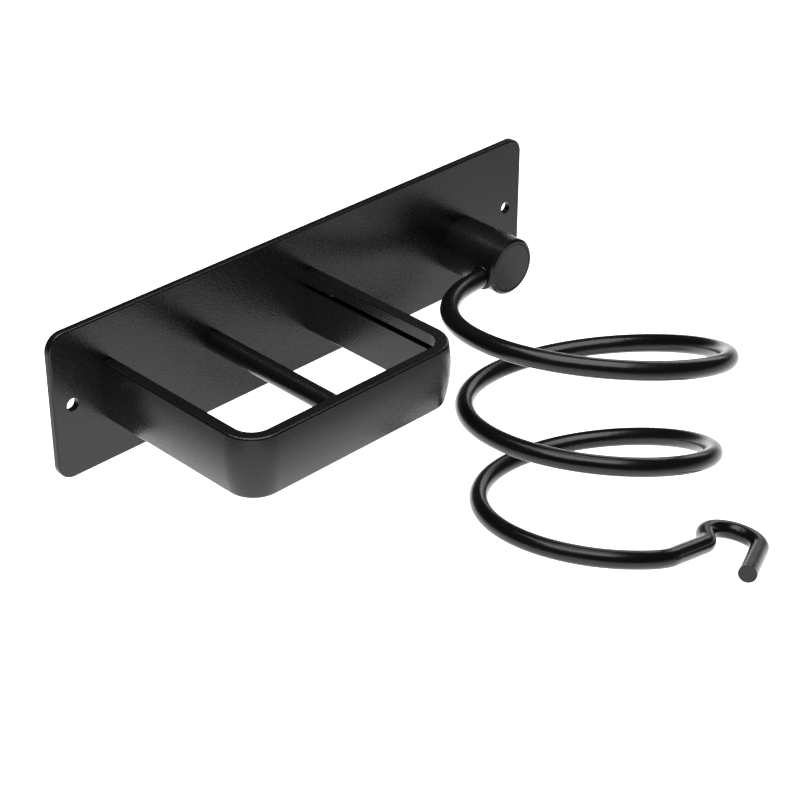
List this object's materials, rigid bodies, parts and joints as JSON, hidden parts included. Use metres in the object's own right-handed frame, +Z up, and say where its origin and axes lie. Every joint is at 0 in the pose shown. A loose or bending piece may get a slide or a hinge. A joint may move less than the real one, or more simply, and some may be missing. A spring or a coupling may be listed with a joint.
{
  "type": "hair dryer holder",
  "caption": "Wall-mounted holder with a divided open basket for stylers and a hanging, tapering wire coil that takes a hair dryer's barrel.",
  "frame": {"origin": "centre of the wall plate's back face, midway between the two wall screw holes", "axes": "+X along the wall plate towards the coil, +Y into the wall, +Z up"},
  "size_m": [0.2472, 0.1666, 0.1299],
  "materials": {
    "powder_coat": "satin black powder coat on aluminium, fine texture",
    "wire_coat": "semi-gloss black coat on aluminium wire",
    "bare_alloy": "machined, bare",
    "screw_steel": "black zinc plated"
  },
  "bodies": {
    "root": {"wall_plate": "powder_coat", "basket_rail": "powder_coat", "divider_rod": "powder_coat", "coil_post": "powder_coat", "post_end_cap": "powder_coat", "coil_wire": "wire_coat", "coil_weld_bead": "wire_coat", "post_threaded_plug": "bare_alloy", "rail_screws": "screw_steel", "divider_screw": "screw_steel", "post_screw": "screw_steel"}
  },
  "joints": []
}
